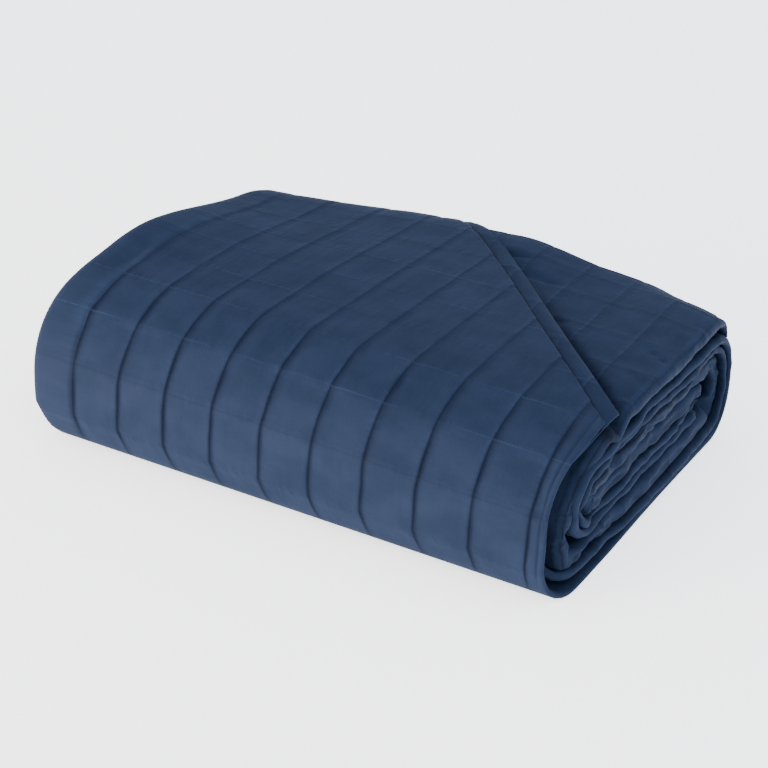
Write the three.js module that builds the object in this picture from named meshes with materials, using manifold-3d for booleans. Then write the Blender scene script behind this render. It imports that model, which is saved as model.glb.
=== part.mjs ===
// A square-stitched bed quilt, folded in four across its length and then rolled flat.
// The cloth is one back-and-forth sheet of four plies, wound from an outer end that hangs over the
// back, across the top, down the front, under the bottom and back inside, where it turns once more.
// Millimetres, +Z up, +X along the fold; the origin is the middle of the box's underside.
import * as THREE from 'three';
import Module from 'manifold-3d';

// Driving dimensions. A square is the pitch of the stitching, and the shapes below count in squares.
const SQUARE = 50.8;
const PLY = 6.0;
const GROOVE = 2.4;
const STACK_HEIGHT = 138.2;

const PLIES = 4;
const SEAMS_ALONG = 9;
const T = PLY / SQUARE;
const H = STACK_HEIGHT / SQUARE;
// Sixteen plies fill the height: four in each of the four passes of the roll.
const PITCH = (H - T) / (4 * PLIES - 1);
const PASS = PLIES * PITCH;
const STRIP = PASS - PITCH + T;

// The front of the roll, a superellipse that is round at the shoulder and square at the foot.
const FRONT = { centreY: 1.5, centreZ: 1.12, reach: 1.82, shoulder: 2.0, foot: 8.5 };
// The back of the roll, and the share of a half turn that the outer end hangs over it.
const BACK = { centreY: 6.1, centreZ: 1.0, reach: 0.95, roundness: 2.3, hang: 0.25 };
// The inner turn behind the front, and where the inner end of the cloth lies.
const INNER = { centreY: 1.38, endY: 5.7, roundness: 2.4 };

// How the section changes along the length: height factors at the shoulder, crown and back, and the
// reach of the back edge.
const STATIONS = [
  { x: -0.9, shoulder: 1.09, crown: 1.13, back: 1.03, reach: 6.5 },
  { x: 0.5, shoulder: 1.05, crown: 1.07, back: 1.02, reach: 6.8 },
  { x: 3.0, shoulder: 1.02, crown: 1.02, back: 0.985, reach: 7.4 },
  { x: 6.0, shoulder: 0.98, crown: 0.99, back: 0.99, reach: 7.5 },
  { x: 8.5, shoulder: 0.94, crown: 1.0, back: 1.0, reach: 7.0 },
  { x: 9.9, shoulder: 0.92, crown: 1.02, back: 0.97, reach: 6.4 },
];
const SHOULDER_Y = 0.9;
const CROWN_Y = 3.6;
const BACK_Y = 6.4;
const STRETCH_FROM_Y = 1.5;

// Where the plies end along the roll: the folded left end, the two hems and the fold at the right.
const ENDS = [
  { run: 0.0, left: -0.62, hemOuter: 9.45, hemInner: 9.5, fold: 9.5 },
  { run: 1.5, left: -0.84, hemOuter: 9.45, hemInner: 9.54, fold: 9.6 },
  { run: 2.45, left: -1.04, hemOuter: 9.38, hemInner: 9.52, fold: 9.52 },
  { run: 3.0, left: -0.72, hemOuter: 9.54, hemInner: 9.52, fold: 9.54 },
  { run: 3.5, left: -0.62, hemOuter: 9.6, hemInner: 9.54, fold: 9.56 },
  { run: 4.5, left: -0.6, hemOuter: 9.52, hemInner: 9.48, fold: 9.5 },
  { run: 5.5, left: -0.65, hemOuter: 9.52, hemInner: 9.5, fold: 9.56 },
  { run: 6.5, left: -0.6, hemOuter: 9.46, hemInner: 9.48, fold: 9.5 },
  { run: 8.0, left: -0.62, hemOuter: 9.5, hemInner: 9.46, fold: 9.54 },
];

// The corner of the outer two plies is turned under along a line at 45 degrees to the stitching.
// The line starts near the right hem, this far along the front's turn, and runs this much to the left
// for each square along the roll. The second ply's line lies a little further out, so that it shows
// as a band beside the first.
const TURNED_CORNER = { x: 9.4, place: 2.04, slant: 1.055, band: 0.55 };
const CUT_MARGIN = 0.6;
const CUT_COLUMN_STEP = 0.02;

const NAVY = new THREE.Color('#2f4566');
const COTTON_ROUGHNESS = 0.85;

// Points across one square of the stitching: the seam, and the edges of the puff between seams.
const PUFF_EDGES = [0.18, 0.82];
// How many steps each run of the roll takes; a run is one arc or one straight pass.
const RUN_STEPS = [2, 10, 12, 3, 8, 4, 8, 3];
const FOLD_STEPS = { wide: 4, narrow: 3, tight: 2 };
const SEAM_ROWS = [0, 0.5];
// How far the first row of stitching across the roll lies from the outer end.
const FIRST_ROW = 0.17;
const STITCHED = { from: 1.0, to: 2.7, fadeFrom: 0.5, fadeTo: 3.0 };
const CLOSEST_ROWS = 0.2;
const ROW_GROOVE = 0.5;

const clamp01 = (v) => Math.min(1, Math.max(0, v));
const mix = (a, b, f) => a + (b - a) * f;
const smooth = (f) => clamp01(f) ** 2 * (3 - 2 * clamp01(f));
const power = (v, exponent) => Math.sign(v) * Math.abs(v) ** (2 / exponent);

// Reads a table by its key column, in straight lines between rows.
function readTable(table, key, at, column) {
  let i = 0;
  while (i < table.length - 2 && at > table[i + 1][key]) i += 1;
  const span = table[i + 1][key] - table[i][key];
  return mix(table[i][column], table[i + 1][column], clamp01((at - table[i][key]) / span));
}

// A half superellipse from above its centre round to below it, bulging to one side.
function halfTurn(centreY, centreZ, reach, up, down, roundUp, roundDown, fraction) {
  const angle = fraction * Math.PI;
  const upper = fraction <= 0.5;
  const roundness = upper ? roundUp : roundDown;
  return {
    y: centreY + reach * power(Math.sin(angle), roundness),
    z: centreZ + (upper ? up : down) * power(Math.cos(angle), roundness),
  };
}

// The runs of the roll in order, each a function of the fraction along it and the depth of the
// surface below the outermost face.
const RUNS = [
  function hangingEnd(f, depth) {
    const up = H - depth - BACK.centreZ;
    return halfTurn(BACK.centreY, BACK.centreZ, BACK.reach + PASS - depth, up, up,
      BACK.roundness, BACK.roundness, (1 - f) * BACK.hang);
  },
  function top(f, depth) {
    return { y: mix(BACK.centreY, FRONT.centreY, f), z: H - depth };
  },
  function front(f, depth) {
    return halfTurn(FRONT.centreY, FRONT.centreZ, depth - FRONT.reach, H - depth - FRONT.centreZ,
      FRONT.centreZ - depth, FRONT.shoulder, FRONT.foot, f);
  },
  function bottom(f, depth) {
    return { y: mix(FRONT.centreY, BACK.centreY, f), z: depth };
  },
  function back(f, depth) {
    return halfTurn(BACK.centreY, BACK.centreZ, BACK.reach - depth, H - PASS - depth - BACK.centreZ,
      BACK.centreZ - depth, BACK.roundness, BACK.roundness, 1 - f);
  },
  function innerTop(f, depth) {
    return { y: mix(BACK.centreY, INNER.centreY, f), z: H - PASS - depth };
  },
  function innerTurn(f, depth) {
    const radius = PASS - PITCH / 2 + T / 2 - depth;
    const centreZ = H - PASS - depth - radius;
    return halfTurn(INNER.centreY, centreZ, -radius, radius, radius,
      INNER.roundness, INNER.roundness, f);
  },
  function innerEnd(f, depth) {
    return { y: mix(INNER.centreY, INNER.endY, f), z: H - 3 * PASS + PITCH - T + depth };
  },
];

// A point of the section, by its place along the roll (run number plus fraction) and its depth.
function sectionPoint(place, depth) {
  const run = Math.min(RUNS.length - 1, Math.max(0, Math.floor(place)));
  return RUNS[run](place - run, depth);
}

// The section set into the roll: heights grow to the crown, and the back reaches as the table says.
function rollPoint(x, place, depth) {
  const { y, z } = sectionPoint(place, depth);
  const shoulder = readTable(STATIONS, 'x', x, 'shoulder');
  const crown = readTable(STATIONS, 'x', x, 'crown');
  const back = readTable(STATIONS, 'x', x, 'back');
  const rise = smooth((y - SHOULDER_Y) / (CROWN_Y - SHOULDER_Y));
  const fall = smooth((y - CROWN_Y) / (BACK_Y - CROWN_Y));
  const height = mix(mix(shoulder, crown, rise), back, fall);
  const fullReach = BACK.centreY + BACK.reach;
  const stretch = (readTable(STATIONS, 'x', x, 'reach') - STRETCH_FROM_Y) / (fullReach - STRETCH_FROM_Y);
  const depthY = y + Math.max(0, y - STRETCH_FROM_Y) * (stretch - 1);
  return new THREE.Vector3(x, depthY, z * height);
}

// Lengths along the outer face, in squares from the outer end, at places that lie closest where a
// square turn runs fastest, at the ends of its quarters.
const PLACES_PER_QUARTER = 40;
const crowd = (f) => f ** 4 / (f ** 4 + (1 - f) ** 4);
const placeLengths = [{ place: 0, length: 0 }];
for (let i = 1; i <= 2 * RUNS.length * PLACES_PER_QUARTER; i += 1) {
  const quarter = Math.floor(i / PLACES_PER_QUARTER);
  const place = (quarter + crowd(i / PLACES_PER_QUARTER - quarter)) / 2;
  const here = sectionPoint(place, 0);
  const last = sectionPoint(placeLengths[i - 1].place, 0);
  const step = Math.hypot(here.y - last.y, here.z - last.z);
  placeLengths.push({ place, length: placeLengths[i - 1].length + step });
}
const lengthAt = (place) => readTable(placeLengths, 'place', place, 'length');
const placeAt = (length) => readTable(placeLengths, 'length', length, 'place');

// Places of the rows of points: seam rows where the stitching shows, even steps elsewhere.
function rowPlaces() {
  const places = [];
  const seamsTo = lengthAt(STITCHED.to);
  const seamsFrom = Math.ceil(lengthAt(STITCHED.from)) + FIRST_ROW;
  for (let length = seamsFrom; length < seamsTo; length += 1) {
    SEAM_ROWS.forEach((part) => places.push(placeAt(length + part)));
  }
  RUN_STEPS.forEach((steps, run) => {
    for (let i = 0; i < steps; i += 1) {
      const place = run + i / steps;
      const gap = (other) => Math.abs(lengthAt(other) - lengthAt(place));
      const clear = places.every((other) => gap(other) > CLOSEST_ROWS);
      if (clear) places.push(place);
    }
  });
  places.push(RUNS.length);
  return places.sort((a, b) => a - b);
}

// Depth of the stitching at a point of the outer ply: deepest on a seam, none under the roll.
function grooveDepth(x, place) {
  const toSeam = Math.abs(x - Math.round(x));
  const fromRow = lengthAt(place) - FIRST_ROW;
  const toRow = Math.abs(fromRow - Math.round(fromRow));
  const across = 1 - clamp01(toSeam / PUFF_EDGES[0]);
  const along = 1 - clamp01(toRow / PUFF_EDGES[0]);
  const fade = clamp01(place / STITCHED.fadeFrom)
    * clamp01((STITCHED.fadeTo - place) / (STITCHED.fadeTo - STITCHED.to));
  return (GROOVE / SQUARE) * fade * Math.max(across, ROW_GROOVE * along);
}

// Columns of points across one face of the folded sheet, as functions of the place along the roll
// that give the point's x and depth.
const INNER_STATIONS = STATIONS.slice(1, -1).map((station) => station.x);

function plyColumns(depth, xs, fromRight, rightEnd, leftFold) {
  const columns = xs.map((x) => (place) => ({ x, depth }));
  columns.unshift((place) => ({ x: leftFold(place), depth }));
  columns.push((place) => ({ x: rightEnd(place), depth }));
  return fromRight ? columns.reverse() : columns;
}

function foldColumns(centre, depthFrom, depthTo, side, steps) {
  const columns = [];
  for (let i = 1; i < steps; i += 1) {
    const angle = (i / steps) * Math.PI;
    const radius = Math.abs(depthTo - depthFrom) / 2;
    columns.push((place) => ({
      x: centre(place) + side * radius * Math.sin(angle),
      depth: mix(depthFrom, depthTo, (1 - Math.cos(angle)) / 2),
    }));
  }
  return columns;
}

const endAt = (column) => (place) => readTable(ENDS, 'run', place, column);
const leftCentre = (place) => endAt('left')(place) + STRIP / 2;
const rightCentre = (place) => endAt('fold')(place) - (PITCH + T) / 2;

function seamColumns() {
  const xs = [];
  for (let seam = 0; seam <= SEAMS_ALONG; seam += 1) {
    xs.push(seam);
    if (seam < SEAMS_ALONG) PUFF_EDGES.forEach((edge) => xs.push(seam + edge));
  }
  return xs;
}

// The face that starts outermost: plies 1, 4, 3 and 2 in the order in which the cloth runs.
function outerFace() {
  return [
    plyColumns(0, seamColumns(), true, endAt('hemOuter'), leftCentre),
    foldColumns(leftCentre, 0, STRIP, -1, FOLD_STEPS.wide),
    plyColumns(STRIP, INNER_STATIONS, false, rightCentre, leftCentre),
    foldColumns(rightCentre, STRIP, 2 * PITCH, 1, FOLD_STEPS.narrow),
    plyColumns(2 * PITCH, INNER_STATIONS, true, rightCentre, leftCentre),
    foldColumns(leftCentre, 2 * PITCH, PITCH + T, -1, FOLD_STEPS.tight),
    plyColumns(PITCH + T, INNER_STATIONS, false, endAt('hemInner'), leftCentre),
  ];
}

// The other face of the same sheet, one ply's thickness away, in the same order.
function innerFace() {
  return [
    plyColumns(T, INNER_STATIONS, true, endAt('hemOuter'), leftCentre),
    foldColumns(leftCentre, T, 3 * PITCH, -1, FOLD_STEPS.wide),
    plyColumns(3 * PITCH, INNER_STATIONS, false, rightCentre, leftCentre),
    foldColumns(rightCentre, 3 * PITCH, 2 * PITCH + T, 1, FOLD_STEPS.tight),
    plyColumns(2 * PITCH + T, INNER_STATIONS, true, rightCentre, leftCentre),
    foldColumns(leftCentre, 2 * PITCH + T, PITCH, -1, FOLD_STEPS.narrow),
    plyColumns(PITCH, INNER_STATIONS, false, endAt('hemInner'), leftCentre),
  ];
}

// A closed mesh in the making: points in millimetres and triangles that turn outwards.
class MeshDraft {
  constructor() {
    this.points = [];
    this.triangles = [];
  }

  addGrid(places, columns) {
    const first = this.points.length / 3;
    const index = (row, column) => first + row * columns.length + column;
    places.forEach((place) => columns.forEach((column) => {
      const { x, depth } = column(place);
      const sunk = depth === 0 ? grooveDepth(x, place) : depth;
      this.points.push(...rollPoint(x, place, sunk).multiplyScalar(SQUARE).toArray());
    }));
    return index;
  }

  addQuad(a, b, c, d) {
    this.triangles.push(a, b, c, a, c, d);
  }

  // Fills the strip between two edges with different numbers of points, taking the nearer next.
  addStrip(left, right) {
    let i = 0;
    let j = 0;
    while (i < left.length - 1 || j < right.length - 1) {
      const leftNext = (i + 1) / (left.length - 1);
      const rightNext = (j + 1) / (right.length - 1);
      if (j === right.length - 1 || (i < left.length - 1 && leftNext <= rightNext)) {
        this.triangles.push(left[i], left[i + 1], right[j]);
        i += 1;
      } else {
        this.triangles.push(left[i], right[j + 1], right[j]);
        j += 1;
      }
    }
  }

  toSolid(wasm) {
    const mesh = new wasm.Mesh({
      numProp: 3,
      vertProperties: new Float32Array(this.points),
      triVerts: new Uint32Array(this.triangles),
    });
    return new wasm.Manifold(mesh);
  }
}

// Range of whole numbers below a count.
const upTo = (count) => [...Array(count).keys()];

// A layer of the roll: its two faces over the same rows, joined along both sides and at both ends.
// The faces come in pieces, plies and the folds between them, that match one to one.
function layerSolid(wasm, places, outerPieces, innerPieces) {
  const draft = new MeshDraft();
  const outer = outerPieces.flat();
  const inner = innerPieces.flat();
  const outerAt = draft.addGrid(places, outer);
  const innerAt = draft.addGrid(places, inner);
  const lastRow = places.length - 1;
  const lastOuter = outer.length - 1;
  const lastInner = inner.length - 1;
  upTo(lastRow).forEach((row) => {
    upTo(lastOuter).forEach((c) => draft.addQuad(
      outerAt(row, c), outerAt(row, c + 1), outerAt(row + 1, c + 1), outerAt(row + 1, c)));
    upTo(lastInner).forEach((c) => draft.addQuad(
      innerAt(row, c), innerAt(row + 1, c), innerAt(row + 1, c + 1), innerAt(row, c + 1)));
    draft.addQuad(outerAt(row, 0), outerAt(row + 1, 0), innerAt(row + 1, 0), innerAt(row, 0));
    draft.addQuad(outerAt(row, lastOuter), innerAt(row, lastInner),
      innerAt(row + 1, lastInner), outerAt(row + 1, lastOuter));
  });
  let outerFrom = 0;
  let innerFrom = 0;
  outerPieces.forEach((piece, i) => {
    const overlap = i % 2;
    const outerEdge = upTo(piece.length + 2 * overlap).map((c) => outerFrom - overlap + c);
    const innerEdge = upTo(innerPieces[i].length + 2 * overlap).map((c) => innerFrom - overlap + c);
    draft.addStrip(innerEdge.map((c) => innerAt(0, c)), outerEdge.map((c) => outerAt(0, c)));
    draft.addStrip(outerEdge.map((c) => outerAt(lastRow, c)),
      innerEdge.map((c) => innerAt(lastRow, c)));
    outerFrom += piece.length;
    innerFrom += innerPieces[i].length;
  });
  return draft.toSolid(wasm);
}

// The part of a ply that the turned corner takes away: all that lies beyond the slanting line.
function cornerSolid(wasm, places, depthFrom, depthTo, outwards) {
  const cornerLength = lengthAt(TURNED_CORNER.place);
  const rows = places.filter((place) => place > 0 && lengthAt(place) < cornerLength - CLOSEST_ROWS);
  const lineX = (place) => TURNED_CORNER.x + outwards
    + TURNED_CORNER.slant * (lengthAt(place) - cornerLength) + Math.min(0, place) * CUT_MARGIN;
  const farX = STATIONS[STATIONS.length - 1].x;
  const kinks = INNER_STATIONS.filter((x) => x > lineX(0));
  const columns = (depth) => [
    (place) => ({ x: lineX(place), depth }),
    ...kinks.map((kink, i) => (place) => (
      { x: Math.max(kink, lineX(place) + (i + 1) * CUT_COLUMN_STEP), depth })),
    (place) => ({ x: farX, depth }),
  ].reverse();
  return layerSolid(wasm, [-CUT_MARGIN, 0, ...rows, TURNED_CORNER.place],
    [columns(depthFrom)], [columns(depthTo)]);
}

const wasm = await Module();
wasm.setup();
const places = rowPlaces();
const halfGap = (PITCH - T) / 2;
const cloth = layerSolid(wasm, places, outerFace(), innerFace())
  .subtract(cornerSolid(wasm, places, -CUT_MARGIN, T + halfGap, 0))
  .subtract(cornerSolid(wasm, places, PITCH - halfGap, PITCH + T + halfGap, TURNED_CORNER.band));

const { vertProperties, triVerts } = cloth.getMesh();
const geometry = new THREE.BufferGeometry();
geometry.setAttribute('position', new THREE.BufferAttribute(vertProperties, 3));
geometry.setIndex(new THREE.BufferAttribute(triVerts, 1));
geometry.computeBoundingBox();
const middle = geometry.boundingBox.getCenter(new THREE.Vector3());
geometry.translate(-middle.x, -middle.y, -geometry.boundingBox.min.z);
geometry.computeVertexNormals();

const quilt = new THREE.Mesh(geometry, new THREE.MeshStandardMaterial({
  color: NAVY, roughness: COTTON_ROUGHNESS, metalness: 0 }));
quilt.name = 'quilt';

const part = new THREE.Group();
part.add(quilt);
export default part;
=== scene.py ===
"""A navy bed quilt stitched in squares, folded in four across its length and rolled flat.

The quilt is one sheet of cloth. Every point of it has two flat coordinates, counted in stitched
squares: how far it lies across the sheet, from the outer hem through the three folds to the inner
hem, and how far it lies along the roll, from the outer end to the inner end. The shape is worked
out from those two numbers, so the stitching stays on the cloth wherever the cloth goes.
"""

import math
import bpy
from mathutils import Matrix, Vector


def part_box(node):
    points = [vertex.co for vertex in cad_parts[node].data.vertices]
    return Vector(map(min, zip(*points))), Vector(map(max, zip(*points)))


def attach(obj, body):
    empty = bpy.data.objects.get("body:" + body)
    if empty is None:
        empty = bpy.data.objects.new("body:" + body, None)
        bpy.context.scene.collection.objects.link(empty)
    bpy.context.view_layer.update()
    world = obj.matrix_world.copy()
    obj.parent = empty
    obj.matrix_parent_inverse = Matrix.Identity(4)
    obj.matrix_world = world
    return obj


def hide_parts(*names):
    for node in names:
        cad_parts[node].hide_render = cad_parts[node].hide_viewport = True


bl_info = {
    "name": "Folded Quilt",
    "version": (1, 0, 0),
    "blender": (4, 5, 0),
    "location": "View3D > Sidebar > Quilt",
    "description": "Builds a folded cotton quilt stitched in squares, and a studio for it",
    "category": "Object",
}

import bmesh
import bpy
import numpy as np

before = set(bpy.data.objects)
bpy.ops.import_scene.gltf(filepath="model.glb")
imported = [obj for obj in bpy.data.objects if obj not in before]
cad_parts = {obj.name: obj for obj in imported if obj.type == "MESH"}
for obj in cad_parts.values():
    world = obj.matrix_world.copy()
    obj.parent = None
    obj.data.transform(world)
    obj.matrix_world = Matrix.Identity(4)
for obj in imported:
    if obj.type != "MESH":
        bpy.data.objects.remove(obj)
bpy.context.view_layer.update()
QUILT_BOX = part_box("quilt")

MILLIMETRE = 0.001

# In the tables below, two numbers for x, y, z, along, place, depth, rank or beyond are the span over
# which something sets in, or ends if the first is the higher. Four numbers are where it sets in and
# where it ends. "by" is how much it does in between, in squares or as a share.

# The roll, in stitched squares: its height, the plies of one pass and the passes of the roll.
PLIES = 4
PASSES = 4
STACK_HEIGHT = 2.7205
CAD_PLY = 0.1181
PITCH = (STACK_HEIGHT - CAD_PLY) / (PLIES * PASSES - 1)
PASS = PLIES * PITCH

# The front is round at the shoulder and square at the foot. The outer end hangs over the back for
# a share of a half turn, and the cloth turns once more inside, behind the front.
FRONT = {"y": 1.5, "z": 1.12, "reach": 1.87, "shoulder": 2.0, "foot": 11.0}
BACK = {"y": 6.1, "z": 1.0, "reach": 0.95, "round": 2.3, "hang": 0.25}
INNER = {"y": 1.38, "end_y": 5.7, "round": 2.4}
# The front leans in below this height, by this much at the floor, and slips to the right there.
TOE = {"height": 0.66, "lean": 0.13, "back_y": 1.5, "slip": 0.16, "slip_x": (9.2, 7.4)}
BULGE = {"out": 0.06, "z": 0.75, "width": 0.5}
RUN_COUNT = 8
BOTTOM_RUN, BACK_RUN = 3, 4

# How the section changes along the roll: height factors, and the reach of the back edge.
STATIONS = {
    "x": (-0.9, 0.5, 3.0, 6.0, 8.5, 9.9),
    "shoulder": (1.05, 1.04, 1.02, 0.98, 0.94, 0.92),
    "crown": (1.16, 1.08, 1.02, 0.99, 1.0, 1.02),
    "back": (1.015, 0.99, 0.97, 0.985, 1.02, 1.03),
    "reach": (6.5, 6.8, 7.4, 7.5, 7.0, 6.4),
}
SHOULDER_Y, CROWN_Y, BACK_Y, STRETCH_FROM_Y = 0.9, 3.0, 6.4, 1.5

# Where the plies end along the roll: the folded left end, the two hems and the right fold.
ENDS = {
    "run": (0.0, 1.5, 2.12, 2.3, 2.5, 2.62, 2.75, 2.9, 3.1, 3.5, 4.5, 5.5, 6.5, 8.0),
    "left": (-0.62, -0.9, -1.04, -1.05, -1.03, -1.01, -0.98, -0.9, -0.78, -0.66, -0.6, -0.65,
             -0.6, -0.62),
    "hem_outer": (9.45, 9.45, 9.42, 9.28, 9.32, 9.38, 9.48, 9.56, 9.57, 9.56, 9.58, 9.54, 9.46, 9.5),
    "hem_inner": (9.5, 9.54, 9.35, 9.02, 8.95, 9.05, 9.2, 9.42, 9.57, 9.6, 9.55, 9.5, 9.48, 9.46),
    "fold": (9.46, 9.6, 9.46, 9.42, 9.4, 9.42, 9.44, 9.48, 9.54, 9.56, 9.46, 9.5, 9.46, 9.5),
}
LEFT_CENTRE, HEM_X, FOLD_CENTRE = -0.18, 9.5, 9.6
LAST_SEAM_X = 9.0
# The solid's own left and front edges, which place the cloth in the frame.
LEFT_REACH, FRONT_REACH = -1.0316, -0.32

# Where the stitching lies: the first seam in from the outer hem, the first row in from the outer
# end, and the line that sews the hems.
FIRST_SEAM = 0.5
ROW_PHASE = 0.17
HEM_STITCH = 0.17

# The stitching's pull, where a pair is the value on the top and the value in front, and the places
# where the front begins and ends.
FRONT_PLACES = (1.9, 2.3, 2.8, 3.0)
SEAM = {"fall": (0.055, 0.042), "ridge": 0.12, "right_ridge": 0.02, "left_ridge": 0.1,
        "needle": 0.4, "needle_width": 0.015, "at_row": 0.75, "between_rows": 0.35}
ROW = {"pull": (0.42, 0.26), "width": 0.05, "shared": 0.5}
ROW_KINK = {"by": 0.35, "place": (1.0, 1.4), "along": (9.3, 9.0), "x": (-0.3, 0.4)}
HEM_PULL = {"side": 0.7, "end": 0.5, "width": 0.03}

# The outer two plies have their corner turned under along a slanting line, the second ply a
# little further out, so that it shows as a band beside the first.
CORNER = {"x": 9.4, "place": 2.04, "slant": 1.055, "band": 0.5}
CORNER_RADIUS = 0.025
CORNER_NORM = math.hypot(1.0, CORNER["slant"])
CORNER_WAY = (1.0 / CORNER_NORM, -CORNER["slant"] / CORNER_NORM)
# Where the two are pressed flat beside it, how far below the first the band lies at its end and
# further in, and how it rolls up and dips.
CORNER_ZONE = {"by": 1.0, "x": (2.2, 3.0), "along": (8.0, 6.2)}
BAND = {"below": (0.045, 0.085), "along": (0.5, 2.0), "x": (9.1, 8.4), "roll": 0.04,
        "roll_at": -0.12, "roll_width": 0.1, "dip": 0.03, "dip_at": -0.36, "dip_width": 0.08}

# The third ply shows beside the turned corner. It is lifted there, more towards its end and less
# under the band, droops at its own corner, and dips in a slit beside the band.
LIFT = {"by": 0.19, "x": (2.2, 3.0), "along": (7.0, 4.8), "under_band": 0.4, "under_band_end": 0.4,
        "beyond": (-0.05, 0.4), "rank": (1.2, 2.0)}
LOWER_RIGHT = {"by": 0.1, "x": (5.0, 7.5)}
END_RISE = {"by": 0.14, "along": (2.5, 0.8), "x": (7.0, 5.0), "beyond": (-0.4, 0.5)}
RIGHT_RISE = {"by": 0.06, "x": (7.4, 8.8), "along": (4.0, 2.0)}
RIGHT_REST = {"x": (7.0, 8.8), "along": (0.0, 1.5)}
DROOP = {"by": 0.1, "x": (7.8, 9.3)}
SLIT = {"by": 0.2, "at": 0.07, "width": 0.12, "along": (2.6, 4.2, 6.0, 6.4)}
DRAWN_BACK = {"by": 0.85, "length": 2.6, "rank": 2.0, "width": 0.4}
RIGHT_SHOWN = {"along": 8.0, "x": 2.9, "relief": 0.55}

# The plies near their ends at the right: where the ends wander, how the cloth thickens, thins and
# is pinched, the gap behind the front hem, and the right fold, whose two plies close up.
WANDER = {"x": (8.7, 9.45), "apart": 4.5, "still": 2.2, "outer_still": 4.5}
LOFT_X = (8.3, 9.2)
THIN_HEM = {"by": 0.08, "x": (9.15, 9.5)}
FRONT_HEM = {"by": 0.45, "x": (8.9, 9.4), "place": (1.95, 2.3, 3.0, 3.3)}
FRONT_GAP = {"by": 0.16, "x": (7.5, 9.3), "place": (1.95, 2.3, 2.55, 2.85), "rank": (0.2, 1.0)}
PINCH = {"by": 0.25, "x": LOFT_X, "middle": 0.4, "apart": 2.3}
CLOSED_FOLD = {"by": 0.12, "x": (8.9, 9.5), "first_rank": 2, "middle_rank": 2.5}
FOLD_LINE = {"by": 0.06, "place": (2.05, 2.3), "width": 0.04, "middle": 0.7, "most": 1.4}
# The plies below the first keep an even pitch, and the relief fades at the foot.
INNER_RANKS = (0.0, 0.6)
FOOT_FADE = {"by": 1.0, "along": (9.1, 9.5), "place": (4.1, 3.9)}
# The least share of its thickness that a hem keeps, and the most of it that a groove may take.
HEM_SHARE, DEEPEST_SHARE = 0.25, 0.7
# The inner passes lie further forward at the right, and their ends are crumpled.
INNER_PULL = {"by": 0.3, "x": (7.5, 9.3), "y": (3.2, 1.2), "after": 5}
CRUMPLE = {"x": (8.0, 9.4), "y": (-0.3, 0.5), "z": (0.1, 0.6), "depth": (0.3, 0.7),
           "place": (4.6, 5.2), "high": 1.6, "fine_high": 1.3}

# Uneven waves: the height, the length in squares and the seed of each.
WAVES = {
    "seam_line": (0.006, 0.7, 5),
    "row_line": (0.006, 0.6, 6),
    "broad_puffs": (0.16, 1.3, 11),
    "fine_puffs": (0.08, 0.42, 12),
    "seam_pull": (0.25, 1.1, 13),
    "pinch": (0.6, 0.5, 31),
    "sway_x": (1.0, 0.9, 41),
    "sway_y": (1.0, 1.0, 42),
    "sway_z": (1.0, 1.3, 43),
    "fine_sway": (0.3, 0.4, 44),
    "broad_ends": (0.016, 0.8, 51),
    "fine_ends": (0.01, 0.4, 52),
    "fold_line": (0.6, 0.9, 61),
}
WAVE_COUNT, WAVE_SPREAD = 9, (0.6, 1.6)

# Creases pressed into the cloth, on the outer ply and on the ply beside the turned corner:
# where each starts and ends, its half width and its depth.
OUTER_CREASES = {
    "x": (-0.18, 8.62, 9.13, 9.3, 6.42, 3.6),
    "along": (6.2, 8.32, 7.95, 8.12, 8.9, 6.6),
    "end_x": (-0.26, 8.6, 9.1, 9.27, 6.5, 3.66),
    "end_along": (5.1, 8.66, 8.22, 8.4, 9.3, 7.0),
    "width": (0.1, 0.05, 0.05, 0.05, 0.07, 0.07),
    "depth": (0.09, 0.05, 0.05, 0.06, 0.04, 0.03),
}
CORNER_CREASES = {
    "x": (4.9, 5.7, 6.9, 8.95, 9.0, 9.05),
    "along": (1.35, 2.0, 3.2, 2.5, 3.3, 4.2),
    "end_x": (5.6, 6.45, 7.3, 9.45, 9.45, 9.45),
    "end_along": (1.38, 2.08, 3.25, 2.66, 3.55, 4.5),
    "width": (0.07, 0.07, 0.06, 0.06, 0.07, 0.06),
    "depth": (0.1, 0.1, 0.06, 0.05, 0.06, 0.05),
}
CREASE_SHARES = (-0.25, 0.35, 0.65, 1.25)
# Pits crushed into the stacked ends at the right: the middle, half sizes and depth of each.
PITS = {
    "y": (0.43, 0.75, 1.15, 1.0, 1.8, 2.63, 3.47, 5.05, 5.4, 5.73, 5.88),
    "z": (0.93, 1.23, 0.85, 0.42, 1.55, 1.3, 1.37, 1.07, 0.87, 1.13, 0.67),
    "wide": (0.14, 0.17, 0.18, 0.3, 0.16, 0.1, 0.1, 0.16, 0.18, 0.14, 0.14),
    "high": (0.12, 0.15, 0.1, 0.07, 0.16, 0.07, 0.07, 0.06, 0.1, 0.08, 0.12),
    "deep": (0.09, 0.12, 0.08, 0.14, 0.16, 0.12, 0.12, 0.16, 0.28, 0.24, 0.26),
}
PITS_X = (8.4, 9.4)

# The photograph's camera, in stitched squares from the seam corner at the front foot.
CAMERA_AT = (18.7887, -20.3373, 15.4324)
CAMERA_TILT = math.radians(90.0 - 27.738)
CAMERA_TURN = math.radians(31.697)
CAMERA_FOCAL_PIXELS = 1726.2
FRAME_PIXELS = 768

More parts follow.
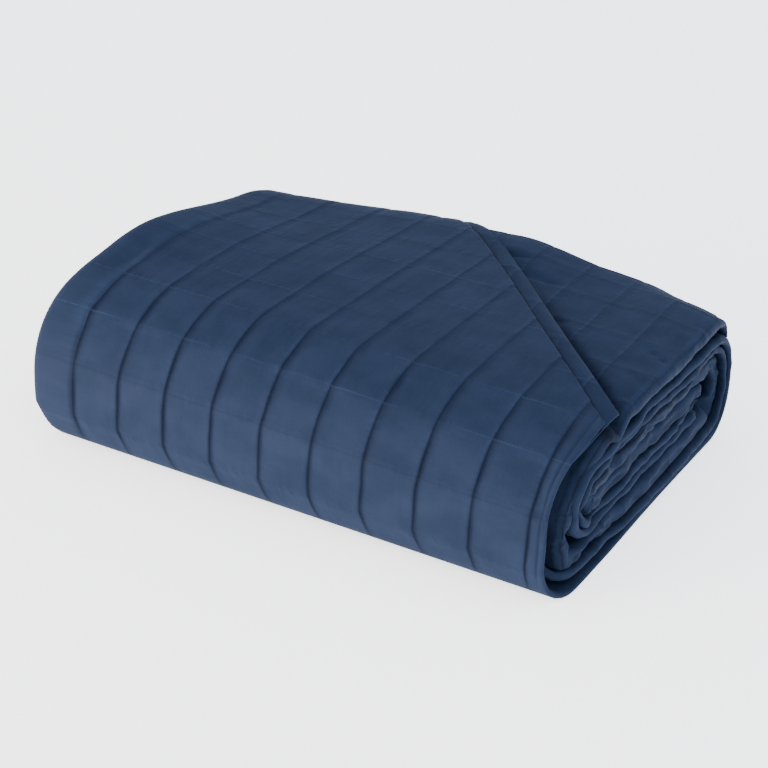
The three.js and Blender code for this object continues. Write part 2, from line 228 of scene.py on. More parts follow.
# The studio: the floor's half width and faint glow, the surround, and for each light its place in
# metres, width, watts and colour.
FLOOR = {"half": 6.0, "roughness": 0.9, "light": (1.0, 1.0, 1.0, 1.0), "glow": 1.7}
SURROUND = {"colour": (0.9, 0.97, 1.1, 1.0), "strength": 1.95}
WARM, COOL = (1.0, 0.8, 0.64), (0.9, 0.95, 1.0)
LIGHTS = (
    ("front_light", (-0.8, -2.6, 0.4), 2.0, 130.0, WARM),
    ("side_light", (-1.9, -2.2, 0.35), 1.2, 90.0, WARM),
    ("end_light", (2.6, -0.8, 0.5), 1.4, 28.0, COOL),
)
LIGHT_HEIGHT_SHARE = 0.4


def linear(hex_colour):
    """Turns an sRGB hex colour into the linear red, green and blue that shaders read."""
    parts = [int(hex_colour[i:i + 2], 16) / 255 for i in (1, 3, 5)]
    return tuple(p / 12.92 if p <= 0.04045 else ((p + 0.055) / 1.055) ** 2.4 for p in parts)


def mix(a, b, share):
    """Straight mixture of two values: the first plus a share of the way to the second."""
    return a + (b - a) * share


def step(span, value):
    """Smooth step: 0 before the span, 1 past it, and three squares less two cubes within it. A span
    of four numbers is a step up over the first two times a step down over the last two."""
    if len(span) == 4:
        return step(span[:2], value) * step(span[:1:-1], value)
    share = np.clip((value - span[0]) / (span[1] - span[0]), 0.0, 1.0)
    return share * share * (3.0 - 2.0 * share)


def effect(table, **at):
    """An effect's size, times the smooth step of each named span over the value of that name."""
    total = table["by"]
    for name, value in at.items():
        total = total * step(table[name], value)
    return total


def bump_at(value, centre, width):
    """Bell curve: one at the centre, falling with the square of the distance over the width."""
    return np.exp(-(((value - centre) / width) ** 2))


def power(value, exponent):
    """Signed power of a sine or cosine, two over the superellipse's exponent."""
    return np.sign(value) * np.abs(value) ** (2.0 / exponent)


def read_table(table, key, column, at):
    """Reads a column of a table with a cubic through every row, sloped as its neighbours lie."""
    keys = np.array(table[key])
    values = np.array(table[column])
    slopes = np.gradient(values, keys)
    at = np.clip(at, keys[0], keys[-1])
    i = np.clip(np.searchsorted(keys, at) - 1, 0, len(keys) - 2)
    span = keys[i + 1] - keys[i]
    f = (at - keys[i]) / span
    ends = values[i] * (1 + 2 * f) * (1 - f) ** 2 + values[i + 1] * f * f * (3 - 2 * f)
    return ends + span * (slopes[i] * f * (1 - f) ** 2 - slopes[i + 1] * f * f * (1 - f))


def waves(name, u, v):
    """Uneven waves: the height times a sum of sines of seeded directions, lengths and phases."""
    height, length, seed = WAVES[name]
    rng = np.random.default_rng(seed)
    angle = rng.uniform(0, 2 * math.pi, WAVE_COUNT)
    number = 2 * math.pi / (length * rng.uniform(*WAVE_SPREAD, WAVE_COUNT))
    phase = rng.uniform(0, 2 * math.pi, WAVE_COUNT)
    total = np.zeros_like(u)
    for a, k, p in zip(angle, number, phase):
        total += np.sin(k * (math.cos(a) * u + math.sin(a) * v) + p)
    return height * (total / math.sqrt(WAVE_COUNT))


def half_turn(centre_y, centre_z, reach, up, down, round_up, round_down, share):
    """Half a superellipse from above its centre, round one side, to below it."""
    angle = share * math.pi
    upper = share <= 0.5
    roundness = np.where(upper, round_up, round_down)
    y = centre_y + reach * power(np.sin(angle), roundness)
    z = centre_z + np.where(upper, up, down) * power(np.cos(angle), roundness)
    return y, z


def section(place, depth):
    """The roll's section: place is the run's number plus the share along it, and depth counts
    inwards from the outermost face. Straight runs move along y, and turns are half turns."""
    run = np.clip(np.floor(place), 0, RUN_COUNT - 1)
    f = place - run
    top = STACK_HEIGHT - depth
    inner_top = top - PASS
    radius = PASS - PITCH / 2 + CAD_PLY / 2 - depth
    end_z = STACK_HEIGHT - (PASSES - 1) * PASS + PITCH - CAD_PLY + depth
    b = BACK["round"]
    runs = (
        half_turn(BACK["y"], BACK["z"], BACK["reach"] + PASS - depth, top - BACK["z"],
                  top - BACK["z"], b, b, (1 - f) * BACK["hang"]),
        (mix(BACK["y"], FRONT["y"], f), top),
        half_turn(FRONT["y"], FRONT["z"], depth - FRONT["reach"], top - FRONT["z"],
                  FRONT["z"] - depth, FRONT["shoulder"], FRONT["foot"], f),
        (mix(FRONT["y"], BACK["y"], f), depth),
        half_turn(BACK["y"], BACK["z"], BACK["reach"] - depth, inner_top - BACK["z"],
                  BACK["z"] - depth, b, b, 1 - f),
        (mix(BACK["y"], INNER["y"], f), inner_top),
        half_turn(INNER["y"], inner_top - radius, -radius, radius, radius,
                  INNER["round"], INNER["round"], f),
        (mix(INNER["y"], INNER["end_y"], f), end_z),
    )
    chosen = [run == i for i in range(RUN_COUNT)]
    return tuple(np.select(chosen, values) for values in zip(*runs))


# Lengths along the outer face from the outer end, at closely spaced places of the roll.
# The places crowd where a square turn runs fastest, at the ends of its quarters.
QUARTER_STEPS, CROWDING = 80, 4
QUARTER = np.linspace(0.0, 1.0, QUARTER_STEPS, endpoint=False)
CROWDED = QUARTER**CROWDING / (QUARTER**CROWDING + (1 - QUARTER) ** CROWDING)
ROLL_PLACES = ((np.arange(2 * RUN_COUNT)[:, None] + CROWDED[None, :]) / 2).ravel()
ROLL_PLACES = np.append(ROLL_PLACES, RUN_COUNT)
ROLL_STEPS = np.hypot(*np.diff(section(ROLL_PLACES, np.zeros_like(ROLL_PLACES))))
ROLL_LENGTHS = np.concatenate(([0.0], np.cumsum(ROLL_STEPS)))


def place_at(length):
    """The place along the roll at a length from the outer end."""
    return np.interp(length, ROLL_LENGTHS, ROLL_PLACES)


def length_at(place):
    """The length from the outer end at a place along the roll."""
    return float(np.interp(place, ROLL_PLACES, ROLL_LENGTHS))


def roll(x, place, depth):
    """Sets the section into the roll. The front bulges as a bell over its height and leans in
    evenly at the foot. Heights follow the stations from the shoulder over the crown to the back,
    and y is drawn out behind the front so that the back reaches its edge."""
    y, z = section(place, depth)
    in_front = step((TOE["back_y"], 0.0), y)
    low = np.clip(1 - z / TOE["height"], 0, 1) * in_front
    y = y + TOE["lean"] * low - BULGE["out"] * bump_at(z, BULGE["z"], BULGE["width"]) * in_front
    rise = step((SHOULDER_Y, CROWN_Y), y)
    fall = step((CROWN_Y, BACK_Y), y)
    shoulder, crown, back = (read_table(STATIONS, "x", c, x) for c in ("shoulder", "crown", "back"))
    height = mix(mix(shoulder, crown, rise), back, fall)
    full_reach = BACK["y"] + BACK["reach"]
    reach = read_table(STATIONS, "x", "reach", x)
    stretch = (reach - STRETCH_FROM_Y) / (full_reach - STRETCH_FROM_Y)
    drawn_y = y + np.maximum(0.0, y - STRETCH_FROM_Y) * (stretch - 1.0)
    slip = TOE["slip"] * low * step(TOE["slip_x"], x)
    return x + slip, drawn_y, z * height


# The ranks of one pass's plies below the outer face, in the order of the cloth from the outer hem,
# and which way the first face looks on the folds between them.
PLY_RANKS = (0, 3, 2, 1)
FOLD_FACINGS = (1, 1, -1)


def sheet_pieces():
    """The plies and folds of one pass in the order of the cloth, each with its start across. Plies
    run to and fro, and a fold is half a circle from a ply's rank to the next."""
    pieces = []
    x, way, start = HEM_X, -1, 0.0
    for i, rank in enumerate(PLY_RANKS):
        end_x = LEFT_CENTRE if way < 0 else FOLD_CENTRE
        ply = {"kind": "ply", "rank": rank, "x": x, "way": way, "start": start, "length": abs(end_x - x)}
        pieces.append(ply)
        start += ply["length"]
        if i < len(FOLD_FACINGS):
            to = PLY_RANKS[i + 1]
            length = math.pi * PITCH * abs(to - rank) / 2
            pieces.append({"kind": "fold", "rank": rank, "to": to, "x": end_x, "way": way,
                           "facing": FOLD_FACINGS[i], "start": start, "length": length})
            start += length
        x, way = end_x, -way
    return pieces


PIECES = sheet_pieces()
SHEET_WIDTH = PIECES[-1]["start"] + PIECES[-1]["length"]
SHEET_LENGTH = float(ROLL_LENGTHS[-1])
OUTER_PLY, OUTER_FOLD, RIGHT_FOLD, RIGHT_PLY, SECOND_FOLD, SECOND_PLY = 0, 1, 3, 4, 5, 6
RIGHT_FOLD_MIDDLE = PIECES[RIGHT_FOLD]["start"] + PIECES[RIGHT_FOLD]["length"] / 2


def fold_line(across):
    """The folded sheet's middle line: x, rank, and the way its first face looks in x and depth.
    A ply runs straight at its rank. A fold is a half circle from one rank to the next."""
    piece = np.clip(np.searchsorted([p["start"] for p in PIECES], across, side="right") - 1, 0, None)
    parts = []
    for p in PIECES:
        along = across - p["start"]
        if p["kind"] == "ply":
            flat = np.zeros_like(along)
            faces = -1.0 if p["way"] < 0 else 1.0
            parts.append((p["x"] + p["way"] * along, flat + p["rank"], flat, flat + faces))
        else:
            angle = math.pi * along / p["length"]
            climb = p["to"] - p["rank"]
            radius = PITCH * abs(climb) / 2
            parts.append((
                p["x"] + p["way"] * radius * np.sin(angle),
                mix(p["rank"], p["to"], (1 - np.cos(angle)) / 2),
                p["facing"] * p["way"] * np.sin(angle),
                -p["facing"] * np.sign(climb) * np.cos(angle),
            ))
    chosen = [piece == i for i in range(len(PIECES))]
    return (piece, *(np.select(chosen, values) for values in zip(*parts)))


def at_the_ends(x, piece, place):
    """Moves the ends of the plies to where they lie: a share of the shift to the left end beyond
    the first seam, and a share of the shift to the hem or fold beyond the last one."""
    strip = PASS - PITCH + CAD_PLY
    left, outer, inner, fold = (read_table(ENDS, "run", column, place)
                                for column in ("left", "hem_outer", "hem_inner", "fold"))
    left = left + strip / 2 - LEFT_CENTRE
    fold = fold - (PITCH + CAD_PLY) / 2
    right = np.select([piece <= OUTER_FOLD, piece >= SECOND_FOLD],
                      [outer - HEM_X, inner - FOLD_CENTRE], fold - FOLD_CENTRE)
    end_x = np.where(piece <= OUTER_FOLD, HEM_X, FOLD_CENTRE)
    to_left = np.clip(x / LEFT_CENTRE, 0.0, 1.0)
    to_right = np.clip((x - LAST_SEAM_X) / (end_x - LAST_SEAM_X), 0.0, 1.0)
    return x + to_left * left + to_right * right


def from_seam(value, phase):
    """Signed distance from the nearest seam, in squares, up to a half either way."""
    return value - phase - np.round(value - phase)


def stitch_lines(across, along):
    """Flat coordinates with the stitching's own wander, so that its lines lie on whole squares."""
    return across + waves("seam_line", along, across), along + waves("row_line", along, across)


def stitched_relief(across, along, place, sizes):
    """Depth of the cloth's face below the top of its puffs, in squares. Right of a seam, past a
    small lip, the face dips as the distance times its exponential. Left of it stands a low ridge,
    and the needle pulls a narrow groove on both sides. The rows pull less, and evenly. In front
    the seams pull most between the rows."""
    front = step(FRONT_PLACES, place)
    groove = mix(sizes["groove"], sizes["front_groove"], front)
    wander, row_wander = stitch_lines(across, along)
    seam = -from_seam(wander, FIRST_SEAM)
    row = np.abs(from_seam(row_wander, ROW_PHASE))
    beside = np.abs(seam)
    falls = beside / mix(*SEAM["fall"], front)
    right = falls * np.exp(1 - falls) - SEAM["ridge"] * np.exp(-beside / SEAM["right_ridge"])
    left = -SEAM["ridge"] * np.exp(-beside / SEAM["left_ridge"])
    pull = np.where(seam > 0, right, left) + SEAM["needle"] * np.exp(-beside / SEAM["needle_width"])
    between_rows = SEAM["at_row"] + SEAM["between_rows"] * np.sin(math.pi * row) ** 2
    pull = pull * mix(1.0, between_rows, front) * (1 + waves("seam_pull", across, along))
    row_pull = mix(*ROW["pull"], front) * np.exp(-row / ROW["width"])
    hems = (HEM_PULL["side"] * bump_at(across, HEM_STITCH, HEM_PULL["width"])
            + HEM_PULL["end"] * bump_at(along, HEM_STITCH, HEM_PULL["width"]))
    puffs = waves("broad_puffs", across, along) + waves("fine_puffs", across, along)
    return groove * (pull + row_pull * (1 - ROW["shared"] * pull) + hems + puffs)


def pressed_creases(creases, x, along):
    """Depth of the listed creases: along each line from start to end, a bell across it that
    rises and fades over the line's length."""
    total = np.zeros_like(x)
    for x0, along0, x1, along1, width, depth in zip(*creases.values()):
        run_x, run_along = x1 - x0, along1 - along0
        length = math.hypot(run_x, run_along)
        share = ((x - x0) * run_x + (along - along0) * run_along) / length**2
        beside = ((x - x0) * run_along - (along - along0) * run_x) / length
        total += depth * step(CREASE_SHARES, share) * bump_at(beside, 0.0, width)
    return total


def crushed_pits(x, y, z):
    """Depth of the pits in the stacked ends: a bell over y and z for each, fading inwards."""
    total = np.zeros_like(x)
    for pit_y, pit_z, wide, high, deep in zip(*PITS.values()):
        total += deep * bump_at(y, pit_y, wide) * bump_at(z, pit_z, high)
    return total * step(PITS_X, x)


def creased_roll(x, along, depth):
    """The roll with a soft kink at every row of stitching on the top and front: part of the way
    to the straight line between the two rows that a point lies between."""
    low = np.floor(along - ROW_PHASE) + ROW_PHASE
    share = along - low
    place = place_at(along)
    here = np.stack(roll(x, place, depth))
    before = np.stack(roll(x, place_at(low), depth))
    after = np.stack(roll(x, place_at(low + 1.0), depth))
    return mix(here, mix(before, after, share), effect(ROW_KINK, place=place, along=along, x=x))


def past_corner(x, along, shift):
    """Distance beyond the turned corner's line, which is moved out by the shift."""
    from_x = x - CORNER["x"] - shift
    from_length = along - length_at(CORNER["place"])
    return CORNER_WAY[0] * from_x + CORNER_WAY[1] * from_length


def turned_corner(x, along, depth, out, radius, shift):
    """Turns a ply's corner under along a slanting line. Beyond the line the cloth goes round a
    half circle of the radius and back below itself: q is sine times the radius, then minus what
    is left. Returns the moved x, length and depth of the face."""
    d = past_corner(x, along, shift)
    turn = np.clip(d / radius, 0.0, math.pi)
    q = np.where(d < math.pi * radius, radius * np.sin(turn), math.pi * radius - d)
    q = np.where(d > 0, q, d)
    moved = q - d + out * np.sin(turn)
    new_depth = depth + radius * (1 - np.cos(turn)) - out * np.cos(turn)
    return x + CORNER_WAY[0] * moved, along + CORNER_WAY[1] * moved, new_depth


def wandering_ends(x, piece, place, along):
    """Lets the ply ends at the right wander, by two seeded waves along each end. They stay still on
    the top, and the outer ply's as far as the back."""
    end = WANDER["apart"] * np.select([piece == OUTER_PLY, piece >= SECOND_FOLD], [0.0, 2.0], 1.0)
    still = (place < WANDER["still"]) | (piece == OUTER_PLY) & (place < WANDER["outer_still"])
    by = np.where(still, 0.0, waves("broad_ends", along, end) + waves("fine_ends", along, end))
    return x + by * step(WANDER["x"], x)


def thickness(piece, x, rank, along, place, zone, sizes):
    """The cloth's thickness, which grows towards the right ends and is pinched there by seeded
    waves. It is thin at the outer hem in front, and pressed flat beside the turned corner."""
    loft = mix(sizes["ply"], sizes["end_ply"], step(LOFT_X, x)) * (1 - effect(THIN_HEM, x=x))
    pinch = np.clip(PINCH["middle"] + waves("pinch", along, PINCH["apart"] * rank), 0.0, 1.0)
    loft = loft * (1 - effect(PINCH, x=x) * pinch * (piece > OUTER_PLY))
    outer_two = (piece == OUTER_PLY) | (piece == SECOND_PLY)
    thick = np.where(outer_two, mix(loft, sizes["corner_ply"], zone), loft)
    return thick * (1 - effect(FRONT_HEM, x=x, place=place) * (piece == OUTER_PLY))


def shown_relief(piece, side, x, rank, across, along, place, sizes):
    """Relief of the faces that show: stitching and creases on the outer ply and on the ply beside
    the turned corner, and an uneven line pressed along the right fold. It fades at the foot."""
    first = side > 0
    by_corner = (piece == RIGHT_PLY) & (along < RIGHT_SHOWN["along"]) & (x > RIGHT_SHOWN["x"])
    stitching = stitched_relief(across, along, place, sizes)
    uneven = np.clip(FOLD_LINE["middle"] + waves("fold_line", along, rank), 0.0, FOLD_LINE["most"])
    line = uneven * bump_at(across, RIGHT_FOLD_MIDDLE, FOLD_LINE["width"])
    relief = np.select(
        [first & (piece == OUTER_PLY), first & by_corner, first & (piece == RIGHT_FOLD)],
        [stitching + pressed_creases(OUTER_CREASES, x, along),
         stitching * RIGHT_SHOWN["relief"] + pressed_creases(CORNER_CREASES, x, along),
         line * effect(FOLD_LINE, place=place)],
        0.0)
    return relief * (1 - effect(FOOT_FADE, along=along, place=place) * (piece != RIGHT_FOLD))


def face_distance(across, along, side, thick, relief):
    """How far a face lies from the cloth's middle: half the thickness, rounded off as a quarter
    circle towards the hems, less the relief."""
    half = thick / 2
    to_hem = np.minimum.reduce([across, SHEET_WIDTH - across, along, SHEET_LENGTH - along])
    inwards = np.clip(to_hem / half, 0.0, 1.0)
    rounded = half * np.maximum(np.sqrt(1 - (1 - inwards) ** 2), HEM_SHARE)
    return side * (rounded - np.minimum(relief, DEEPEST_SHARE * thick) * inwards)


def third_ply_depth(x, along, beyond):
    """Depth added to the third ply beside the turned corner: its droop and slit, less its lift."""
    lift = LIFT["by"] - effect(LOWER_RIGHT, x=x) + effect(END_RISE, along=along, x=x, beyond=beyond)
    under_band = LIFT["under_band"] + LIFT["under_band_end"] * step(END_RISE["along"], along)
    lift = lift * step(LIFT["x"], x) * step(LIFT["along"], along)
    lift = lift * mix(under_band, 1.0, step(LIFT["beyond"], beyond))
    lift = lift + effect(RIGHT_RISE, x=x, along=along)
    lift = lift * mix(1.0, step(RIGHT_REST["along"], along), step(RIGHT_REST["x"], x))
    droop = effect(DROOP, x=x) * np.clip(1 - along, 0.0, 1.0) ** 2
    slit = effect(SLIT, along=along) * bump_at(beyond, SLIT["at"], SLIT["width"])
    return droop + slit - lift


def ply_depth(piece, x, rank, along, place, zone, thick, sizes):
    """Depth of the cloth's middle below the outermost face: its rank in steps of the pitch, and
    half its thickness. Beside the turned corner the second ply lies close under the first."""
    second = piece == SECOND_PLY
    middle = mix(thick / 2, sizes["end_ply"] / 2, step(INNER_RANKS, rank))
    depth = rank * PITCH + np.where(second, mix(middle, thick / 2, zone), middle)
    depth = depth - (PITCH - mix(*BAND["below"], step(BAND["along"], along))) * zone * second
    depth = depth + effect(FRONT_GAP, place=place, x=x, rank=rank)
    closed = PITCH * (CLOSED_FOLD["middle_rank"] - rank) * (rank >= CLOSED_FOLD["first_rank"])
    depth = depth + effect(CLOSED_FOLD, x=x) * closed
    beyond = past_corner(x, along, CORNER["band"])
    rolled = (BAND["roll"] * bump_at(beyond, BAND["roll_at"], BAND["roll_width"])
              - BAND["dip"] * bump_at(beyond, BAND["dip_at"], BAND["dip_width"]))
    depth = depth - rolled * zone * step(BAND["x"], x) * second
    return depth + third_ply_depth(x, along, beyond) * step(LIFT["rank"], rank)


def crumpled_ends(x, y, z, depth, place, sway):
    """Draws the inner passes forward at the right, crushes pits into the stacked ends, and moves
    them by seeded waves times the sway, which dies away outwards, at the floor and in front."""
    y = y - effect(INNER_PULL, x=x, y=y) * (place > INNER_PULL["after"])
    x = x - crushed_pits(x, y, z)
    inside = np.maximum(step(CRUMPLE["depth"], depth), step(CRUMPLE["place"], place))
    by = sway * inside * step(CRUMPLE["x"], x) * step(CRUMPLE["y"], y) * step(CRUMPLE["z"], z)
    sideways = waves("sway_x", y, z * CRUMPLE["high"]) + waves("fine_sway", y, z * CRUMPLE["fine_high"])
    return x + by * sideways, y + by * waves("sway_y", y, z), z + by * waves("sway_z", y, z)


def in_frame(x, y, z, square):
    """Metres in the frame, from squares counted from the seam corner at the front foot."""
    low = QUILT_BOX[0]
    return ((x - LEFT_REACH) * square + low[0],
            (y - FRONT_REACH) * square + low[1],
            z * square + low[2])


def cloth_points(across, along, side, sizes):
    """Points of the quilt in metres, from the flat coordinates and the side, one on the first
    face and minus one on the other. The outer two plies go round their turned corners."""
    piece, x, rank, look_x, look_depth = fold_line(across)
    place = place_at(along)
    x = wandering_ends(at_the_ends(x, piece, place), piece, place, along)
    zone = effect(CORNER_ZONE, x=x, along=along)
    thick = thickness(piece, x, rank, along, place, zone, sizes)
    relief = shown_relief(piece, side, x, rank, across, along, place, sizes)
    face = face_distance(across, along, side, thick, relief)
    depth = ply_depth(piece, x, rank, along, place, zone, thick, sizes)
    back = DRAWN_BACK["by"] * np.clip(1 - along / DRAWN_BACK["length"], 0.0, 1.0) ** 2
    along = along + back * bump_at(rank, DRAWN_BACK["rank"], DRAWN_BACK["width"])
    out = -face * look_depth
    radius = CORNER_RADIUS * thick / sizes["corner_ply"]
    outer = turned_corner(x, along, depth, out, radius, 0.0)
    second = turned_corner(x, along, depth, out, radius, CORNER["band"])
    plain = (x + face * look_x, along, depth - out)
    turned = [piece == OUTER_PLY, piece == SECOND_PLY]
    x, along, depth = (np.select(turned, ways[:2], ways[2]) for ways in zip(outer, second, plain))
    x, y, z = crumpled_ends(*creased_roll(x, along, depth), depth, place, sizes["sway"])
    return np.column_stack(in_frame(x, y, np.maximum(z, 0.0), sizes["square"]))


# Where the mesh has its columns and rows: parts of every square, places on the hidden plies, and
# distances from the hems.
SEAM_PATTERN = (0.0, 0.03, 0.07, 0.13, 0.22, 0.34, 0.5, 0.66, 0.78, 0.87, 0.93, 0.97)
ROW_PATTERN = (0.0, 0.04, 0.1, 0.2, 0.33, 0.44, 0.56, 0.67, 0.8, 0.9, 0.96)
BAND_PATTERN = (0.0, 0.06, 0.18, 0.34, 0.5, 0.66, 0.82, 0.94)
SPARSE_PATTERN = (0.0, 0.17, 0.34, 0.5, 0.66, 0.83)
BOTTOM_PATTERN = (0.0, 0.25, 0.5, 0.75)
HIDDEN_X = (0.0, 1.0, 2.5, 4.0, 5.5, 7.0, 7.8, 8.4, 8.7, 9.0, 9.15, 9.27, 9.36, 9.42)
HEM_POINTS = (0.0, 0.012, 0.035, 0.075, 0.11, 0.145, 0.17, 0.195, 0.23)
# Points round each fold, on the first face and on the other.
FOLD_POINTS = {OUTER_FOLD: (9, 7), RIGHT_FOLD: (9, 4), SECOND_FOLD: (6, 4)}
# How far the fine part of the right ply reaches, and where that of the band begins.
RIGHT_FINE, BAND_FINE = 6.6, 3.2
# How clear columns stay of the hem's own points, how clear points stay of a stretch's ends, as a
# share of the pattern's least step, and how far past the foot the close rows go on.
HEM_CLEAR, STEP_CLEAR, PAST_FOOT = 0.02, 0.4, 0.5
# Columns and rows are rounded to this many decimals, so that none is there twice.
DECIMALS = 5
# Cuts beside the turned corner's fold, as shares of its half turn, how far they keep in from the
# ply's ends and go past the corner, and how near to a point they take it over.
CORNER_CUTS = (-0.5, 0.0, 0.25, 0.5, 0.75, 1.0, 1.3)
CUT_INSET, CUT_REACH, CUT_SNAP = 0.01, 1.0, 0.004
# The other face's U runs down from here. A face is on the other side if its points are, on average.
OTHER_U, OTHER_SIDE = -1.0, -0.99


def spaced(start, end, pattern, phase):
    """Points from start to end at the pattern's parts of every square, seams at the phase."""
    whole = np.arange(math.floor(start - phase) - 1, math.ceil(end - phase) + 1) + phase
    points = (whole[:, None] + np.array(pattern)[None, :]).ravel()
    clear = STEP_CLEAR * min(np.diff(pattern))
    return points[(points > start + clear) & (points < end - clear)]


def column_points(fine):
    """Places across the sheet of one face's columns. The first face is fine on the outer ply and
    where the right fold shows; the other is fine where the turned band shows."""
    hems = np.array(HEM_POINTS)
    columns = [hems, SHEET_WIDTH - hems]
    clear = HEM_POINTS[-1] + HEM_CLEAR
    for i, piece in enumerate(PIECES):
        start, end = piece["start"], piece["start"] + piece["length"]
        if piece["kind"] == "fold":
            columns.append(np.linspace(start, end, FOLD_POINTS[i][0 if fine else 1]))
            continue
        points = start + (np.array(HIDDEN_X) - piece["x"]) * piece["way"]
        if fine and i == OUTER_PLY:
            points = spaced(start, end, SEAM_PATTERN, FIRST_SEAM)
        if fine and i == RIGHT_PLY:
            shown = spaced(start, start + RIGHT_FINE, BAND_PATTERN, FIRST_SEAM)
            points = np.concatenate((points[points > start + RIGHT_FINE], shown))
        if not fine and i == SECOND_PLY:
            shown = spaced(start + BAND_FINE, end, SPARSE_PATTERN, FIRST_SEAM)
            points = np.concatenate((points[points < start + BAND_FINE], shown))
        columns.append(points[(points > clear) & (points < SHEET_WIDTH - clear)])
    return np.unique(np.round(np.concatenate(columns), DECIMALS))


def row_points():
    """Places along the roll of the rows: close where the stitching shows, and on the turns."""
    ends = np.array(HEM_POINTS)
    turns = [length_at(run) for run in range(BACK_RUN, RUN_COUNT)]
    bounds = (ends[-1], length_at(BOTTOM_RUN) + PAST_FOOT, *turns, SHEET_LENGTH - ends[-1])
    patterns = (ROW_PATTERN, BOTTOM_PATTERN) + (BAND_PATTERN,) * len(turns)
    rows = [spaced(start, end, pattern, ROW_PHASE)
            for start, end, pattern in zip(bounds, bounds[1:], patterns)]
    return np.unique(np.round(np.concatenate([ends, SHEET_LENGTH - ends, *rows]), DECIMALS))


def flat_sheet():
    """The sheet laid flat: two grids over the same rows, closed along the hems with quads and at
    both ends with triangles that take the nearer next point of either edge."""
    rows, first, other = row_points(), column_points(True), column_points(False)
    grids = []
    start = 0
    for columns, side in ((first, 1.0), (other, -1.0)):
        c, r = np.meshgrid(columns, rows)
        index = start + np.arange(c.size).reshape(c.shape)
        grids.append((np.column_stack((c.ravel(), r.ravel(), np.full(c.size, side))), index))
        start += c.size
    (points_a, a), (points_b, b) = grids
    quads = np.concatenate((
        np.stack((a[:-1, :-1], a[:-1, 1:], a[1:, 1:], a[1:, :-1]), -1).reshape(-1, 4),
        np.stack((b[:-1, :-1], b[1:, :-1], b[1:, 1:], b[:-1, 1:]), -1).reshape(-1, 4),
        np.stack((a[:-1, 0], a[1:, 0], b[1:, 0], b[:-1, 0]), -1),
        np.stack((a[:-1, -1], b[:-1, -1], b[1:, -1], a[1:, -1]), -1),
    ))
    b_now = np.searchsorted(other[1:], first[1:], side="left")
    a_now = np.searchsorted(first[1:], other[1:], side="right")
    strips = []
    for row, turned in ((0, False), (-1, True)):
        from_a = np.stack((a[row, :-1], b[row, b_now], a[row, 1:]), -1)
        from_b = np.stack((a[row, a_now], b[row, :-1], b[row, 1:]), -1)
        strip = np.concatenate((from_a, from_b))
        strips.append(strip[:, ::-1] if turned else strip)
    faces = quads.tolist() + np.concatenate(strips).tolist()
    return np.concatenate((points_a, points_b)), faces


def crease(flat_mesh, piece, shift):
    """Cuts the flat sheet along lines beside the turned corner's fold, so that its edge is clean."""
    p = PIECES[piece]
    normal = (p["way"] * CORNER_WAY[0], CORNER_WAY[1], 0.0)
    corner_across = p["start"] + p["way"] * (CORNER["x"] + shift - p["x"])
    low, high = p["start"] + CUT_INSET, p["start"] + p["length"] - CUT_INSET
    corner_along = length_at(CORNER["place"])
    for share in CORNER_CUTS:
        offset = share * math.pi * CORNER_RADIUS
        point = (corner_across + normal[0] * offset, corner_along + normal[1] * offset, 0.0)
        near = [f for f in flat_mesh.faces
                if f.verts[0].co.y < corner_along + CUT_REACH and low < f.calc_center_median().x < high]
        geometry = set(near)
        for f in near:
            geometry.update(f.edges)
            geometry.update(f.verts)
        bmesh.ops.bisect_plane(flat_mesh, geom=list(geometry), dist=CUT_SNAP, plane_co=point,
                               plane_no=normal)


def quilt_mesh(sizes):
    """The quilt's mesh: the flat sheet, creased for its turned corners, set into its folds. Its
    UV map holds the flat coordinates in squares, with the other face beside the first."""
    points, faces = flat_sheet()
    mesh = bpy.data.meshes.new("quilt_cloth")
    mesh.from_pydata(points.tolist(), [], faces)
    sheet = bmesh.new()
    sheet.from_mesh(mesh)
    crease(sheet, OUTER_PLY, 0.0)
    crease(sheet, SECOND_PLY, CORNER["band"])
    sheet.to_mesh(mesh)
    sheet.free()
    count = len(mesh.vertices)
    flat = np.empty(count * 3)
    mesh.vertices.foreach_get("co", flat)
    across, along, side = flat.reshape(-1, 3).T
    placed = cloth_points(across, along, side, sizes)
    mesh.vertices.foreach_set("co", placed.ravel())
    loops = np.empty(len(mesh.loops), dtype=np.int32)
    mesh.loops.foreach_get("vertex_index", loops)
    totals = np.empty(len(mesh.polygons), dtype=np.int32)
    mesh.polygons.foreach_get("loop_total", totals)
    face_of = np.repeat(np.arange(len(totals)), totals)
    under = np.bincount(face_of, weights=side[loops]) / totals < OTHER_SIDE
    wander, row_wander = stitch_lines(across, along)
    u = np.where(under[face_of], OTHER_U - wander[loops], wander[loops])
    layer = mesh.uv_layers.new(name="cloth")
    layer.data.foreach_set("uv", np.column_stack((u, row_wander[loops])).ravel())
    mesh.polygons.foreach_set("use_smooth", np.ones(len(totals), dtype=bool))
    mesh.update()
    return mesh


